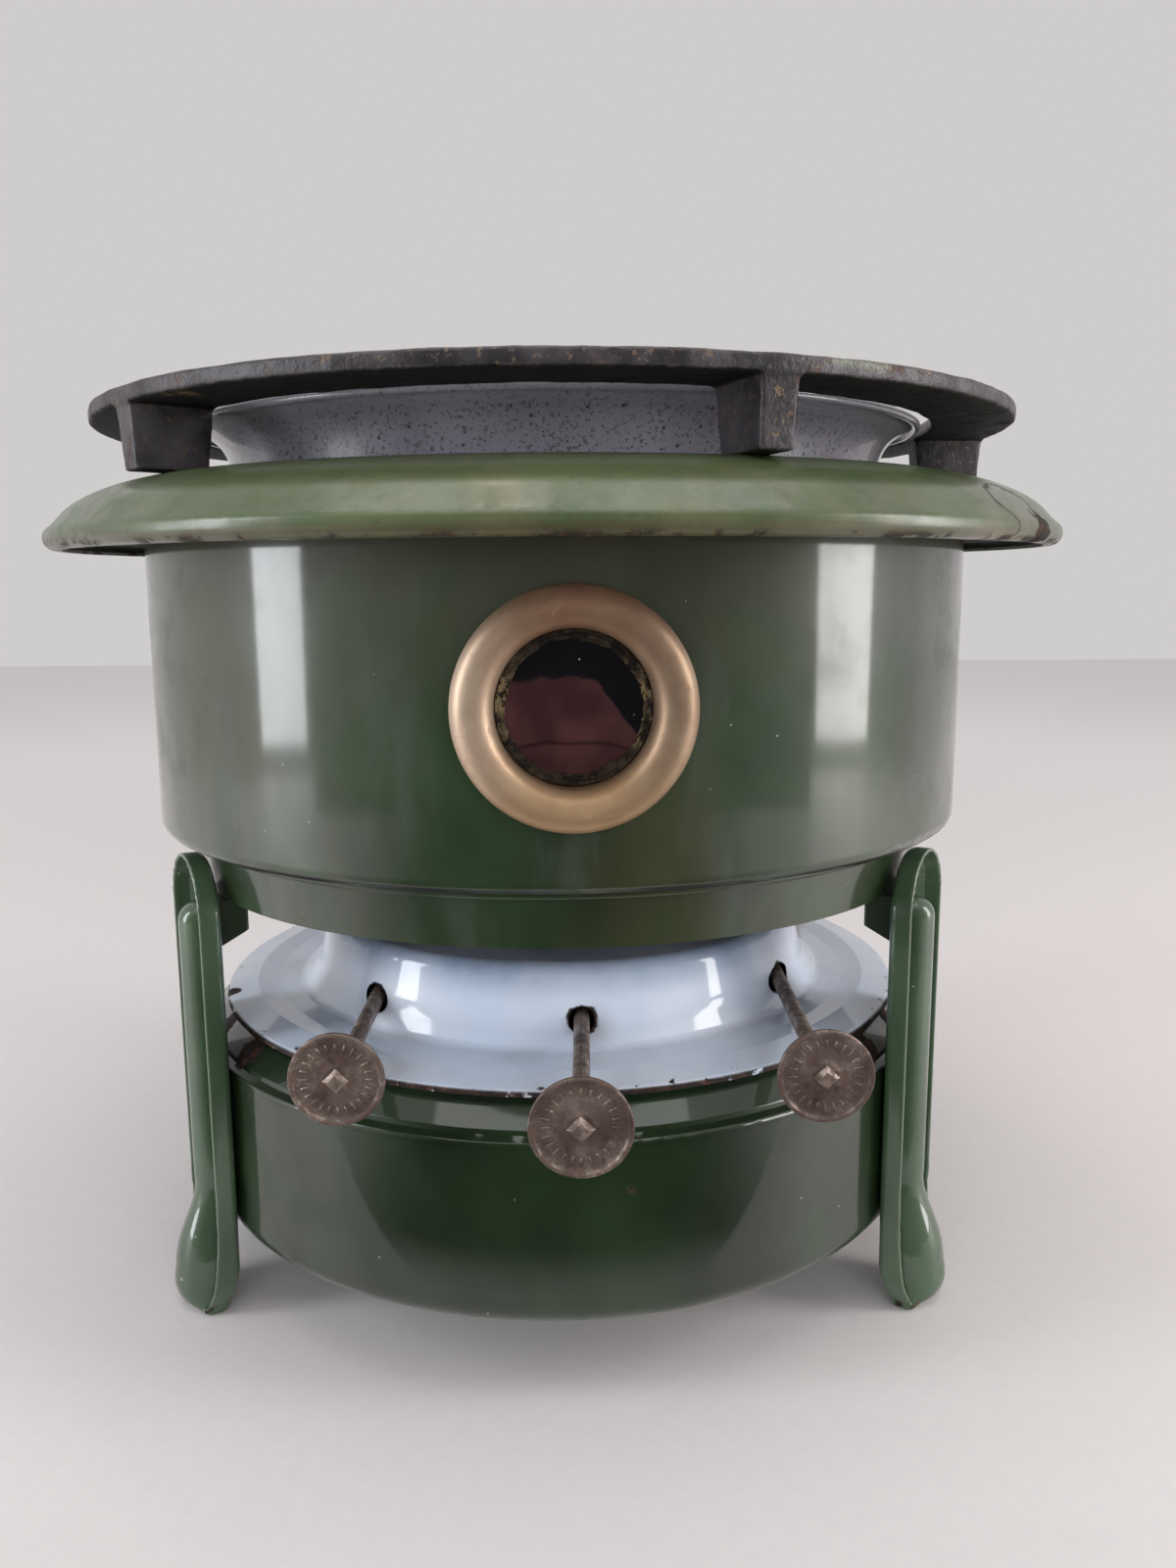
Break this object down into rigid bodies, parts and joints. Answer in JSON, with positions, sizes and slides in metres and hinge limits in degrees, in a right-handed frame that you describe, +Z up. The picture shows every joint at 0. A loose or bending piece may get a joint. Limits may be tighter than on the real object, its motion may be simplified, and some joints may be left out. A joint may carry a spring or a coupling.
{
  "type": "kerosene cooker",
  "caption": "Enamelled kerosene cooker: round tank on pressed legs, drip plate with wick knobs, drum with mica window, domed collar, funnel and cast pot ring.",
  "frame": {"origin": "on the table under the centre of the tank, at the middle of the three feet", "axes": "+Z up along the axis of tank and drum, -Y towards the knobs and the window, +X to the right seen from the front"},
  "size_m": [0.28, 0.28, 0.2404],
  "materials": {
    "green_enamel": "gloss",
    "olive_enamel": "gloss",
    "white_enamel": "gloss",
    "grey_enamel": "gloss",
    "cast_iron": "matt, worn",
    "copper_toned_brass": "satin, tarnished",
    "cap_brass": "satin",
    "tinned_steel": "satin",
    "scorched_steel": "matt, scorched",
    "rusty_steel": "matt, rusty",
    "cotton": "woven",
    "mica": "smoky",
    "rubber": "matt"
  },
  "bodies": {
    "stand": {"tank_bowl": "green_enamel", "tank_top": "green_enamel", "drip_plate": "white_enamel", "leg_left": "green_enamel", "leg_right": "green_enamel", "leg_rear": "green_enamel", "seat_bracket_left": "green_enamel", "seat_bracket_right": "green_enamel", "seat_bracket_rear": "green_enamel", "wick_tube_left": "tinned_steel", "wick_tube_centre": "tinned_steel", "wick_tube_right": "tinned_steel", "wheel_box_left": "tinned_steel", "wheel_box_centre": "tinned_steel", "wheel_box_right": "tinned_steel", "filler_neck": "tinned_steel"},
    "spindle_left": {"spindle_left": "rusty_steel", "knob_left": "rusty_steel", "star_wheels_left": "tinned_steel"},
    "wick_left": {"wick_left": "cotton"},
    "spindle_centre": {"spindle_centre": "rusty_steel", "knob_centre": "rusty_steel", "star_wheels_centre": "tinned_steel"},
    "wick_centre": {"wick_centre": "cotton"},
    "spindle_right": {"spindle_right": "rusty_steel", "knob_right": "rusty_steel", "star_wheels_right": "tinned_steel"},
    "wick_right": {"wick_right": "cotton"},
    "mantle": {"drum": "green_enamel", "skirt": "green_enamel", "seam_bead": "green_enamel", "collar": "olive_enamel", "window_bezel": "copper_toned_brass", "mica_pane": "mica", "mica_retainer": "tinned_steel", "flame_deck": "scorched_steel"},
    "funnel": {"flame_funnel": "grey_enamel"},
    "pot_ring": {"pot_ring": "cast_iron"},
    "cap_seal": {"cap_seal": "rubber"},
    "filler_cap": {"filler_cap": "cap_brass"}
  },
  "joints": [
    {"name": "knob_turn_left", "type": "hinge", "parent": "stand", "child": "spindle_left", "pos_m": [-0.0485, 0, 0.086], "axis": [0, 1, 0], "range_deg": [-156, 104]},
    {"name": "wick_rise_left", "type": "slide", "parent": "stand", "child": "wick_left", "axis": [0, 0, 1], "range_m": [-0.012, 0.008]},
    {"name": "knob_turn_centre", "type": "hinge", "parent": "stand", "child": "spindle_centre", "pos_m": [0.0065, 0, 0.086], "axis": [0, 1, 0], "range_deg": [-156, 104]},
    {"name": "wick_rise_centre", "type": "slide", "parent": "stand", "child": "wick_centre", "axis": [0, 0, 1], "range_m": [-0.012, 0.008]},
    {"name": "knob_turn_right", "type": "hinge", "parent": "stand", "child": "spindle_right", "pos_m": [0.0615, 0, 0.086], "axis": [0, 1, 0], "range_deg": [-156, 104]},
    {"name": "wick_rise_right", "type": "slide", "parent": "stand", "child": "wick_right", "axis": [0, 0, 1], "range_m": [-0.012, 0.008]},
    {"name": "mantle_lift", "type": "slide", "parent": "stand", "child": "mantle", "axis": [0, 0, 1], "range_m": [0, 0.1]},
    {"name": "funnel_lift", "type": "slide", "parent": "mantle", "child": "funnel", "axis": [0, 0, 1], "range_m": [0, 0.06]},
    {"name": "pot_ring_lift", "type": "slide", "parent": "mantle", "child": "pot_ring", "axis": [0, 0, 1], "range_m": [0, 0.06]},
    {"name": "cap_rise", "type": "slide", "parent": "stand", "child": "cap_seal", "axis": [0, 0, 1], "range_m": [0, 0.0076]},
    {"name": "cap_turn", "type": "hinge", "parent": "cap_seal", "child": "filler_cap", "pos_m": [0.07404, 0.04275, 0.0909], "axis": [0, 0, 1], "range_deg": [0, 1080]}
  ],
  "couplings": [
    {"joint": "wick_rise_left", "follows": "knob_turn_left", "m_per_rad": 0.0044},
    {"joint": "wick_rise_centre", "follows": "knob_turn_centre", "m_per_rad": 0.0044},
    {"joint": "wick_rise_right", "follows": "knob_turn_right", "m_per_rad": 0.0044},
    {"joint": "cap_rise", "follows": "cap_turn", "m_per_rad": 0.00039789}
  ]
}
